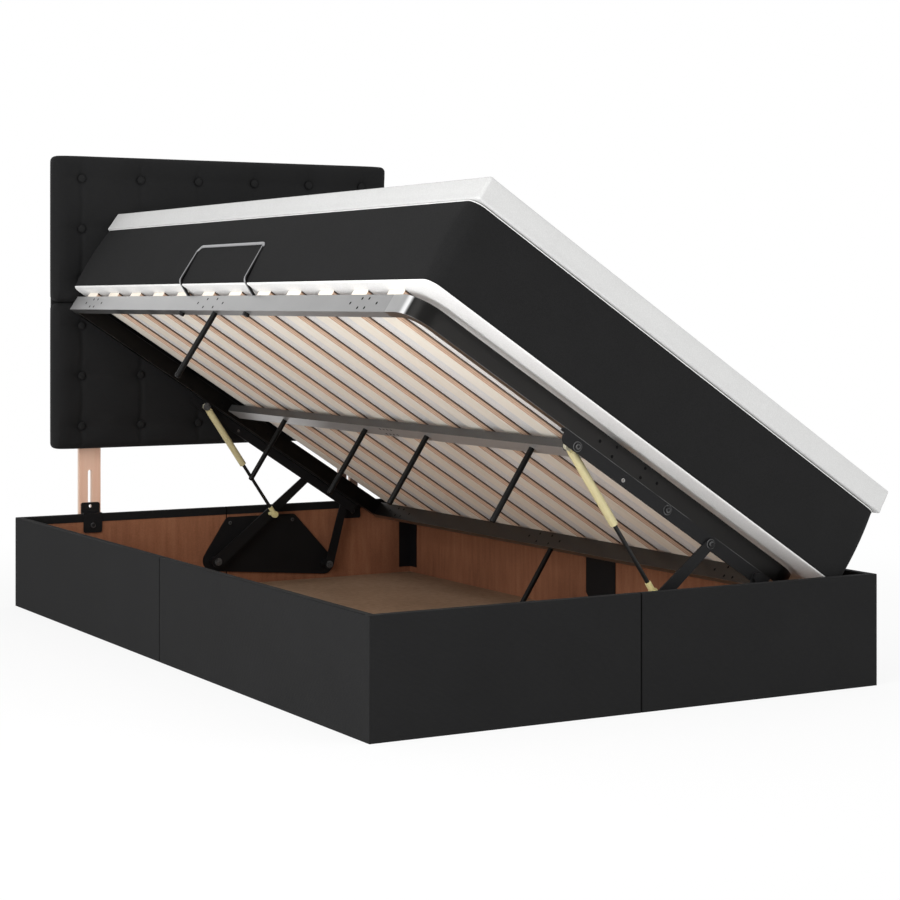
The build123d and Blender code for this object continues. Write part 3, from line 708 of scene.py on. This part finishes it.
def filled(piece, held, pressure, most, stiff=15.0):
    """Swells a pad with a cloth simulation, and keeps each point within most of where it began."""
    pins = piece.vertex_groups.new(name="held")
    pins.add(held, 1.0, "REPLACE")
    cloth = piece.modifiers.new("filling", "CLOTH")
    settings = cloth.settings
    settings.quality = 5
    settings.mass = 0.3
    settings.tension_stiffness = stiff
    settings.compression_stiffness = stiff
    settings.shear_stiffness = stiff / 3
    settings.bending_stiffness = 0.5
    settings.use_pressure = True
    settings.uniform_pressure_force = pressure
    settings.effector_weights.gravity = 0
    settings.vertex_group_mass = "held"
    cloth.collision_settings.use_collision = False
    for moment in range(1, fill_frames + 1):
        bpy.context.scene.frame_set(moment)
    graph = bpy.context.evaluated_depsgraph_get()
    count = len(piece.data.vertices)
    before, after = np.zeros(count * 3), np.zeros(count * 3)
    piece.data.vertices.foreach_get("co", before)
    piece.evaluated_get(graph).data.vertices.foreach_get("co", after)
    swell = (after - before).reshape(-1, 3)
    length = np.linalg.norm(swell, axis=1, keepdims=True) + 1e-12
    swell *= most * np.tanh(length / most) / length
    piece.modifiers.remove(cloth)
    piece.data.vertices.foreach_set("co", before + swell.ravel())
    piece.data.update()
    bpy.context.scene.frame_set(1)


def finer(piece):
    """The piece with its mesh rounded once."""
    rounding = piece.modifiers.new("rounding", "SUBSURF")
    rounding.levels = rounding.render_levels = 1
    return baked(piece)


def pad(name, low, high, corner, edges, spacing):
    """A closed pad with round upright corners, and the point numbers of each level of its sides.

    Edges are (height, inset) steps from its bottom to its top."""
    corner_steps = 5
    runs = [max(2, round((b - a - 2 * corner) / spacing)) for a, b in zip(low, high)]

    def lines(axis, inset, radius):
        start, end = low[axis] + inset, high[axis] - inset
        turn = [radius * i / corner_steps for i in range(corner_steps)]
        run = np.linspace(start + radius, end - radius, runs[axis] + 1)
        return [start + t for t in turn] + list(run) + [end - t for t in reversed(turn)]

    def level(height, inset):
        """Every point of a level, as rows of places."""
        radius = max(corner - inset, 0.002)
        rows = []
        for y in lines(1, inset, radius):
            row = []
            for x in lines(0, inset, radius):
                centre = [min(max(v, a + inset + radius), b - inset - radius)
                          for v, a, b in zip((x, y), low, high)]
                a, b = x - centre[0], y - centre[1]
                if a and b:
                    reach = max(abs(a), abs(b))
                    turn = math.pi / 4 * min(abs(a), abs(b)) / reach
                    far, near = reach * math.cos(turn), reach * math.sin(turn)
                    a, b = (math.copysign(far if abs(a) >= abs(b) else near, a),
                            math.copysign(near if abs(a) >= abs(b) else far, b))
                row.append((centre[0] + a, centre[1] + b, height))
            rows.append(row)
        return rows

    columns, rows = [n + 1 + 2 * corner_steps for n in runs]
    rim = [(i, 0) for i in range(columns)] + [(columns - 1, j) for j in range(1, rows)]
    rim += [(i, rows - 1) for i in range(columns - 2, -1, -1)]
    rim += [(0, j) for j in range(rows - 2, 0, -1)]
    points, faces, rings = [], [], []
    for k, (height, inset) in enumerate(edges):
        places = level(height, inset)
        start = len(points)
        if k in (0, len(edges) - 1):
            points += [p for row in places for p in row]
            rings.append([start + j * columns + i for i, j in rim])
            for j in range(rows - 1):
                for i in range(columns - 1):
                    a = start + j * columns + i
                    quad = (a, a + 1, a + columns + 1, a + columns)
                    faces.append(quad if k else quad[::-1])
        else:
            points += [places[j][i] for i, j in rim]
            rings.append(list(range(start, start + len(rim))))
    for lower, upper in zip(rings, rings[1:]):
        for i in range(len(rim)):
            j = (i + 1) % len(rim)
            faces.append((lower[i], lower[j], upper[j], upper[i]))
    mesh = bpy.data.meshes.new(name)
    mesh.from_pydata(points, [], faces)
    return shown(name, mesh), rings


def edge_steps(bottom, top, reach, draw, fullness, levels=7):
    """Levels of a pad's edge: rounded at both ends, drawn in there, and fullest half way up."""
    turns = [i / 4 * math.pi / 2 for i in range(5)]
    rounding = [(reach * (1 - math.cos(a)), draw + reach * (1 - math.sin(a))) for a in turns]
    steps = [(bottom + rise, inset) for rise, inset in rounding]
    for i in range(1, levels):
        share = i / levels
        steps.append((bottom + reach + (top - bottom - 2 * reach) * share,
                      draw - (draw + fullness) * (1 - (2 * share - 1) ** 2)))
    return steps + [(top - rise, inset) for rise, inset in reversed(rounding)]


def by_faces(piece, materials, choose):
    """Gives each face one of the materials."""
    coated(piece.data, *materials)
    for face in piece.data.polygons:
        face.material_index = choose(face)


# Mattress and topper

mattress, mattress_rings = pad(
    "mattress_pad", (0.0, mattress_foot_y), (mattress_width, mattress_head_y), mattress_corner,
    edge_steps(mattress_bottom_w, mattress_top_w, reach=0.004, draw=0.002, fullness=0.003),
    pad_spacing)
filled(mattress, [v.index for v in mattress.data.vertices if not 0.010 < v.co.z < 0.174],
       pressure=4.0, most=0.002)
piping_lines = [[mattress.data.vertices[i].co.copy() for i in mattress_rings[k]] for k in (-4, 4)]
mattress = finer(mattress)
by_faces(mattress, (border_cloth, underside_cloth),
         lambda face: 0 if underside_edge_w <= face.center.z <= mattress_top_w - cover_seam else 1)
mattress.data.transform(deck_place)
smooth(rode(mattress, "deck", ["mattress"]))

topper = pad(
    "topper_pad", (0.0, topper_foot_y), (topper_width, topper_head_y), topper_corner,
    edge_steps(mattress_top_w + cover_seam, topper_top_w, reach=0.0042, draw=0.0012, fullness=0.0,
               levels=4),
    pad_spacing)[0]
filled(topper, [v.index for v in topper.data.vertices if v.co.z < mattress_top_w + 0.012],
       pressure=2.0, most=0.0025)
topper = finer(topper)
by_faces(topper, (topper_cloth, quilted_cloth), lambda face: 1 if face.normal.z > 0.9 else 0)
topper.data.transform(deck_place)
smooth(rode(topper, "deck", ["topper"]))

# Headboard cushions


def facing_foot(x, y, z):
    """Turns a part that was made lying down to look at the foot of the bed from this place."""
    return Matrix((
        (1, 0, 0, x),
        (0, 0, -1, y),
        (0, 1, 0, z),
        (0, 0, 0, 1),
    ))


def hollow(depth, width, away):
    """How deep a soft hollow is at this distance from its middle."""
    return depth * math.exp(-(away / width) ** 2)


def cushion(name, middle):
    """One tufted half of the headboard."""
    half_width = headboard_width / 2 - cushion_play
    half_height = cushion_height / 2 - cushion_play
    depth = headboard_board_y - headboard_front_y - 0.003
    turns = [i / 5 * math.pi / 2 for i in range(1, 6)]
    steps = [(0.0, 0.0), (depth - 0.026, 0.0), (depth - cushion_round, 0.0)]
    steps += [(depth - cushion_round * (1 - math.sin(a)), 0.012 * (1 - math.cos(a))) for a in turns]
    piece = pad(name, (-half_width, -half_height), (half_width, half_height), cushion_corner, steps,
                spacing=0.0085)[0]
    spots = [(x, z) for x in tuft_columns for z in tuft_rows]
    held = []
    for v in piece.data.vertices:
        if v.co.z < 0.004:
            held.append(v.index)
        elif v.co.z > depth - 0.001:
            near = min(math.hypot(v.co.x - x, v.co.y - z) for x, z in spots)
            v.co.z -= hollow(*button_dent, near) + hollow(*tuft_hollow, near)
            if near < 0.010:
                held.append(v.index)
    filled(piece, held, pressure=4.0, most=0.008, stiff=12.0)
    piece = finer(piece)
    for v in piece.data.vertices:
        if v.co.z > 0.015:
            edge = min(half_width - abs(v.co.x), half_height - abs(v.co.y))
            fade = min(1.0, max(0.0, edge / 0.03))
            upright = min(abs(v.co.x - x) for x in tuft_columns)
            level = min(abs(v.co.y - z) for z in tuft_rows)
            v.co.z -= fade * (hollow(*upright_fold, upright) + hollow(*level_fold, level))
    piece.data.transform(facing_foot(headboard_middle_x, headboard_board_y, middle))
    coated(piece.data, headboard_cloth)
    return smooth(piece)


for name, middle in cushion_middles.items():
    piece = cushion(f"headboard_{name}_pad", middle)
    rode(piece, "base", [f"headboard_{name}_cushion"])

# The box's cloth, in two pieces a panel, stretched over the boards and folded in at the top


def wrapped(name, panel, start, end, capped, node):
    """One piece of cloth on a panel whose axes run along it, inwards and up."""
    mesh = bmesh.new()
    bmesh.ops.create_cube(mesh, size=1.0)
    for v in mesh.verts:
        v.co = (start + (v.co.x + 0.5) * (end - start), (v.co.y + 0.5) * panel_thickness,
                (v.co.z + 0.5) * box_height)

    def closed(x):
        """Whether the cloth also covers the panel's end at x."""
        return capped[0] if abs(x - start) < 1e-6 else capped[1]

    folds = []
    for edge in mesh.edges:
        a, b = (v.co for v in edge.verts)
        if a.z < 0.001 and b.z < 0.001:
            continue
        if abs(a.x - b.x) > 0.1 or closed(a.x) and (abs(a.y - b.y) > 0.01 or a.y < 0.001):
            folds.append(edge)
    bmesh.ops.bevel(mesh, geom=folds, offset=cloth_edge, segments=3, profile=0.5, affect="EDGES",
                    clamp_overlap=True)
    fold_height = box_height - cloth_fold
    bmesh.ops.bisect_plane(mesh, geom=mesh.verts[:] + mesh.edges[:] + mesh.faces[:], dist=1e-6,
                           plane_co=(0, 0, fold_height), plane_no=(0, 0, 1))
    gone = []
    for face in mesh.faces:
        middle, way = face.calc_center_median(), face.normal
        inner = way.y > 0.99 and middle.z < fold_height
        open_end = abs(way.x) > 0.99 and not closed(middle.x)
        if way.z < -0.99 or inner or open_end:
            gone.append(face)
    bmesh.ops.delete(mesh, geom=gone, context="FACES")
    data = bpy.data.meshes.new(name)
    mesh.to_mesh(data)
    mesh.free()
    piece = shown(name, data)
    cloth = piece.modifiers.new("cloth", "SOLIDIFY")
    cloth.thickness = cloth_thickness
    cloth.offset = -1
    piece = baked(piece)
    piece.data.transform(panel)
    coated(piece.data, box_cloth)
    for face in piece.data.polygons:
        face.use_smooth = max(map(abs, face.normal)) < 0.995
    rode(piece, "base", [node])
    end - start


def panel_axes(origin, along, inwards):
    """Places a panel's cloth, made along X, inwards along Y and up Z."""
    return Matrix((
        (along[0], inwards[0], 0, origin[0]),
        (along[1], inwards[1], 0, origin[1]),
        (0, 0, 1, 0),
        (0, 0, 0, 1),
    ))


for node, origin, along, inwards, half, capped, boards in (
    ("foot", (0, -box_half_length), (1, 0), (0, 1), box_half_width, True,
     ("foot_board_left", "foot_board_right")),
    ("head", (0, box_half_length), (-1, 0), (0, -1), box_half_width, True,
     ("head_board_right", "head_board_left")),
    ("open_side", (-box_half_width, 0), (0, -1), (1, 0), inner_half_length, False,
     ("open_side_board_head", "open_side_board_foot")),
    ("hinge_side", (box_half_width, 0), (0, 1), (-1, 0), inner_half_length, False,
     ("hinge_side_board_foot", "hinge_side_board_head")),
):
    panel = panel_axes(origin, along, inwards)
    for board, start, end, ends in (
        (boards[0], -half, -panel_seam / 2, (capped, True)),
        (boards[1], panel_seam / 2, half, (True, capped)),
    ):
        wrapped(board.replace("board", "cloth"), panel, start, end, ends, f"{node}_cover")

# What repeats or follows a path


class Repeat(Nodes):
    """A Geometry Nodes tree with named inputs, used on one base mesh or curve."""

    def __init__(self, name, **inputs):
        tree = bpy.data.node_groups.new(name, "GeometryNodeTree")
        super().__init__(tree)
        tree.interface.new_socket(name="Base", in_out="INPUT", socket_type="NodeSocketGeometry")
        tree.interface.new_socket(name="Result", in_out="OUTPUT", socket_type="NodeSocketGeometry")
        self.known = {}
        for key, kind in inputs.items():
            made = tree.interface.new_socket(name=key, in_out="INPUT", socket_type=kind)
            self.known[key] = made.identifier
        self.start = tree.nodes.new("NodeGroupInput")

    def given(self, key):
        return Value(self, self.start.outputs[key])

    def end(self, geometry):
        whole = self.node("GeometryNodeRealizeInstances", None, {0: geometry})
        finished = self.node("GeometryNodeSetMaterial", None,
                             {"Geometry": whole, "Material": self.given("Finish")})
        self.node("NodeGroupOutput", None, {0: finished})

    def made(self, base, **values):
        """The base's result as a plain mesh object."""
        modifier = base.modifiers.new("repeat", "NODES")
        modifier.node_group = self.tree
        for key, value in values.items():
            modifier[self.known[key]] = value
        return baked(base)


def points(name, places):
    """Loose points for a tree to put parts on."""
    mesh = bpy.data.meshes.new(name)
    mesh.from_pydata([tuple(p) for p in places], [], [])
    return shown(name, mesh)


def route(name, places, closed=False):
    """A curve through these places, which a tree then bends and thickens."""
    curve = bpy.data.curves.new(name, "CURVE")
    curve.dimensions = "3D"
    spline = curve.splines.new("POLY")
    spline.points.add(len(places) - 1)
    for point, place in zip(spline.points, places):
        point.co = (*place, 1)
    spline.use_cyclic_u = closed
    line = bpy.data.objects.new(name, curve)
    bpy.context.scene.collection.objects.link(line)
    return line


def turned_part(name, *turns):
    """A part of one or more pieces turned on the Z axis, each its segments and its profile.

    A profile is (radius, height) steps."""
    mesh = bmesh.new()
    for segments, profile in turns:
        rings = []
        for radius, height in profile:
            if radius == 0:
                rings.append([mesh.verts.new((0, 0, height))])
            else:
                rings.append([mesh.verts.new((radius * math.cos(a), radius * math.sin(a), height))
                              for a in (i * 2 * math.pi / segments for i in range(segments))])
        for lower, upper in zip(rings, rings[1:]):
            for i in range(segments):
                j = (i + 1) % segments
                corners = [lower[i % len(lower)], lower[j % len(lower)],
                           upper[j % len(upper)], upper[i % len(upper)]]
                mesh.faces.new(list(dict.fromkeys(corners)))
    bmesh.ops.recalc_face_normals(mesh, faces=mesh.faces)
    data = bpy.data.meshes.new(name)
    mesh.to_mesh(data)
    mesh.free()
    return shown(name, data)


bent = Repeat("bent_rod", Bend="NodeSocketFloat", Thickness="NodeSocketFloat",
              Finish="NodeSocketMaterial")
rounded = bent.node("GeometryNodeFilletCurve", {"mode": "POLY"},
                    {"Curve": bent.given("Base"), "Count": 6, "Radius": bent.given("Bend"),
                     "Limit Radius": True})
ring = bent.node("GeometryNodeCurvePrimitiveCircle", None,
                 {"Resolution": 14, "Radius": bent.given("Thickness")})
bent.end(bent.node("GeometryNodeCurveToMesh", None,
                   {"Curve": rounded, "Profile Curve": ring, "Fill Caps": True}))

spread = Repeat("same_on_each_point", Part="NodeSocketObject", Finish="NodeSocketMaterial")
part = spread.node("GeometryNodeObjectInfo", None, {"Object": spread.given("Part")}, output=4)
spread.end(spread.node("GeometryNodeInstanceOnPoints", None,
                       {"Points": spread.given("Base"), "Instance": part}))


def crisp(piece, angle=35):
    """Smooth shading between sharp edges."""
    smooth(piece)
    piece.data.set_sharp_from_angle(angle=math.radians(angle))
    return piece


# The wire loop that stops the mattress

wire = bent.made(route("mattress_stop", [
    (open_rail_u, loop_foot_y, loop_end_w),
    (open_rail_u, loop_foot_y, loop_step_w),
    (loop_stand_u, loop_foot_y, loop_knee_w),
    (loop_stand_u, loop_foot_y + 0.007, loop_top_w),
    (loop_stand_u, loop_head_y - 0.014, loop_top_w),
    (loop_stand_u, loop_head_y - 0.001, loop_top_w - 0.012),
    (loop_stand_u, loop_head_y, loop_knee_w),
    (open_rail_u, loop_head_y, loop_step_w),
    (open_rail_u, loop_head_y, loop_end_w),
]), Bend=0.011, Thickness=0.004, Finish=loop_enamel)
wire.data.transform(deck_place)
crisp(rode(wire, "deck", ["mattress_retainer"]), 50)

# Legs under the deck

for name, top, length, places in (
    ("rail", rail_bottom_w, rail_leg_length,
     [(u, rail_leg_y) for u in (open_rail_u, hinge_rail_u)]),
    ("beam", beam_bottom_w, beam_leg_length,
     [(deck_middle_u, beam_leg_middle_y + s * p / 2) for s in (-1, 1) for p in beam_leg_spans]),
):
    leg = turned_part(f"{name}_leg_pattern", (20, [
        (0, 0.0), (leg_rod_radius, 0.0), (leg_rod_radius, -length + 0.010),
        (leg_cap_radius, -length + 0.0096), (leg_cap_radius, -length + 0.005),
        (0.0060, -length + 0.002), (0.0040, -length + 0.0004), (0, -length)]))
    legs = spread.made(points(f"{name}_support_legs", [(u, y, top) for u, y in places]),
                       Part=leg, Finish=rod_coat)
    bpy.data.objects.remove(leg)
    legs.data.transform(deck_place)
    crisp(rode(legs, "deck", ["support_legs"]))

# Buttons of the headboard

button = turned_part("button_pattern", (20, [
    (0.0085, 0.0), (0.0103, 0.0012), (0.0107, 0.0028), (0.0098, 0.0046), (0.0075, 0.0060),
    (0.0040, 0.0067), (0, 0.0069)]))
spots = points("headboard_covered_buttons",
               [(headboard_middle_x + x, middle + z, 0)
                for middle in cushion_middles.values() for x in tuft_columns for z in tuft_rows])
buttons = spread.made(spots, Part=button, Finish=button_cloth)
bpy.data.objects.remove(button)
buttons.data.transform(facing_foot(0, headboard_front_y + button_sink, 0))
smooth(rode(buttons, "base", ["headboard_buttons"]))

# Nuts, bolt heads and riveted pivots

washer = (24, [(0, 0.0), (0.0108, 0.0), (0.0108, 0.0008), (0.0104, 0.0011), (0, 0.0011)])
hex_nut = (6, [(0, 0.0011), (0.0100, 0.0011), (0.0100, 0.0040), (0.0088, 0.0048), (0, 0.0048)])
stud_end = (16, [(0.0040, 0.0046), (0.0040, 0.0058), (0.0034, 0.0064), (0, 0.0064)])
fastener_kinds = {
    "nut": (washer, hex_nut, stud_end),
    "bolt": ((6, [(0, 0.0), (0.0075, 0.0), (0.0075, 0.0032), (0.0066, 0.0040), (0.0040, 0.0040),
                  (0.0036, 0.0036), (0, 0.0036)]),),
    "hanging": ((6, [(0, 0.0), (0.0078, 0.0), (0.0078, 0.0066), (0.0066, 0.0074), (0, 0.0074)]),),
    "screw": ((20, [(0, 0.0), (0.0050, 0.0), (0.0050, 0.0012), (0.0042, 0.0024), (0.0028, 0.0029),
                    (0.0020, 0.0029), (0.0016, 0.0018), (0, 0.0018)]),),
    "pivot": ((24, [(0, 0.0), (0.0105, 0.0), (0.0105, 0.0010), (0.0098, 0.0014), (0.0085, 0.0014),
                    (0.0080, 0.0009), (0.0066, 0.0009), (0.0062, 0.0036), (0.0052, 0.0044),
                    (0.0030, 0.0044), (0.0024, 0.0032), (0, 0.0032)]),),
    "eyelet": ((20, [(0.0022, -0.0030), (0.0022, 0.0010), (0.0030, 0.0015), (0.0042, 0.0010),
                     (0.0044, 0.0), (0.0034, 0.0), (0.0034, -0.0030), (0.0022, -0.0030)]),),
}


def fastened(name, kind, places, turn, node="deck_fasteners", body="deck", finish=blackened):
    """Fasteners of one kind at these places, with their axis turned from Z to turn.

    Places on the deck are given as u, y and w."""
    pattern = turned_part(f"{name}_pattern", *fastener_kinds[kind])
    pattern.data.transform(Vector(turn).to_track_quat("Z", "X").to_matrix().to_4x4())
    group = spread.made(points(name, places), Part=pattern, Finish=finish)
    bpy.data.objects.remove(pattern)
    if body == "deck":
        group.data.transform(deck_place)
    crisp(rode(group, body, [node] if node else []))


for end, side, face_y, inner_y in (
    ("foot", -1, frame_foot_y, -inner_half_length),
    ("head", 1, frame_head_y, inner_half_length),
):
    outer = (0, side, 0)
    inner = (0, -side, 0)
    arm_y = face_y + side * arm_thickness
    nut_y = face_y - side * strut_nut_depth
    ear_y = inner_y - side * plate_thickness
    fastened(f"{end}_arm_pivot", "pivot", [(arm_pivot_u, arm_y, pivot_w)], outer)
    fastened(f"{end}_plate_rivets", "pivot",
             [(strut_pivot_u, face_y, pivot_w), (plate_bolt_u, face_y, plate_bolt_w)], outer)
    fastened(f"{end}_spare_eyelet", "eyelet", [(spare_hole_u, face_y, pivot_w)], outer,
             node=None, finish=zinc_plate)
    fastened(f"{end}_strut_nut", "nut", [(strut_pivot_u, nut_y, pivot_w)], inner)
    fastened(f"{end}_pin_nuts", "nut", [(x, face_y, z) for x, z in (arm_pin, link_pin)], inner,
             "base_fasteners", "base")
    fastened(f"{end}_plate_screws", "screw", [(x, ear_y, z) for x, z in plate_ears], inner,
             "base_fasteners", "base")
fastened("loop_nuts", "hanging",
         [(open_rail_u, y, rail_bottom_w) for y in (loop_foot_y, loop_head_y)], (0, 0, -1),
         finish=rod_coat)
for name, kind, y, heights, way in (
    ("clamp_bolts", "bolt", clamp_front_y, [clamp_bolt_z], -1),
    ("clamp_nuts", "nut", leg_back_y, [clamp_bolt_z], 1),
    ("leg_bolts", "bolt", leg_back_y, leg_bolt_heights, 1),
):
    fastened(name, kind, [(x, y, z) for x in (-leg_x, leg_x) for z in heights], (0, way, 0),
             "headboard_fasteners", "base")

# Piping along the mattress's edges

for name, line, outwards, cloth in (
    ("upper", piping_lines[0], 0.0005, piping_cloth),
    ("lower", piping_lines[1], 0.0002, border_cloth),
):
    moved = []
    for i, place in enumerate(line):
        ahead, behind = line[(i + 1) % len(line)], line[i - 1]
        way = (ahead - behind).normalized()
        moved.append(place + Vector((way.y, -way.x, 0)) * outwards)
    piping = bent.made(route(f"mattress_{name}_piping", moved, closed=True),
                       Bend=0.0, Thickness=0.0010, Finish=cloth)
    piping.data.transform(deck_place)
    smooth(rode(piping, "deck", []))

# Camera, floor and light

camera = bpy.data.objects.new("camera", bpy.data.cameras.new("camera"))
bpy.context.scene.collection.objects.link(camera)
camera_place = (-2.3784, -4.4298, 0.8026)
camera_look = Vector((0.4953, 0.8687, 0))
camera.data.sensor_width = 36
camera.data.lens = 84.7
camera.data.shift_y = -0.1637
camera.data.clip_end = 100
camera.location = camera_place
camera.rotation_euler = camera_look.to_track_quat("-Z", "Y").to_euler()
bpy.context.scene.camera = camera


def seen(nodes):
    """1 for what the camera sees, straight or in metal or glass."""
    outputs = nodes.node("ShaderNodeLightPath").socket.node.outputs
    return Value(nodes, outputs["Is Camera Ray"]).most(Value(nodes, outputs["Is Glossy Ray"])).most(
        Value(nodes, outputs["Is Transmission Ray"]))


floor_mesh = bpy.data.meshes.new("studio_floor")
floor_reach = 30
floor_mesh.from_pydata([(x * floor_reach, y * floor_reach, 0)
                        for x, y in ((-1, -1), (1, -1), (1, 1), (-1, 1))], [], [(0, 1, 2, 3)])
floor_look = Finish("studio_floor")
floor_x, floor_y = floor_look.axes()[:2]
far = (floor_x * floor_x + floor_y * floor_y).maths("SQRT").between(1.2, 2.6)
plain = floor_look.node("ShaderNodeBsdfDiffuse", None, {"Color": (0.9, 0.9, 0.9, 1)})
bright = floor_look.node("ShaderNodeEmission", None, {"Color": (1, 1, 1, 1), "Strength": 1.0})
floor_look.node("ShaderNodeOutputMaterial", None, {0: floor_look.node(
    "ShaderNodeMixShader", None, {0: seen(floor_look) * (far * 0.15 + 0.85), 1: plain, 2: bright})})
shown("studio_floor", floor_mesh, floor_look.material)

world = bpy.data.worlds.new("studio")
world.use_nodes = True
bpy.context.scene.world = world
sky = Nodes(world.node_tree)
world.node_tree.nodes.clear()
soft_light = sky.node("ShaderNodeBackground", None, {"Color": (1, 1, 1, 1), "Strength": 0.75})
white = sky.node("ShaderNodeBackground", None, {"Color": (1, 1, 1, 1), "Strength": 1.0})
sky.node("ShaderNodeOutputWorld", None,
         {0: sky.node("ShaderNodeMixShader", None, {0: seen(sky), 1: soft_light, 2: white})})


def lamp(name, place, aim, size, power):
    """A soft round lamp."""
    light = bpy.data.lights.new(name, "AREA")
    light.shape = "DISK"
    light.size = size
    light.energy = power
    holder = bpy.data.objects.new(name, light)
    bpy.context.scene.collection.objects.link(holder)
    holder.location = place
    holder.rotation_euler = (Vector(aim) - Vector(place)).to_track_quat("-Z", "Y").to_euler()


lamp("key", (-3.2, -2.2, 3.0), (-0.1, 0, 0.5), 2.6, 48)
lamp("fill", (2.2, -3.4, 2.2), (0, 0, 0.5), 2.4, 25)
lamp("low", (-2.8, -1.6, 0.25), (0.15, 0, 0.6), 2.0, 72)
lamp("low_foot", (1.0, -3.6, 0.25), (0.2, -0.9, 0.45), 2.0, 14)

bpy.context.scene.view_settings.view_transform = "Standard"
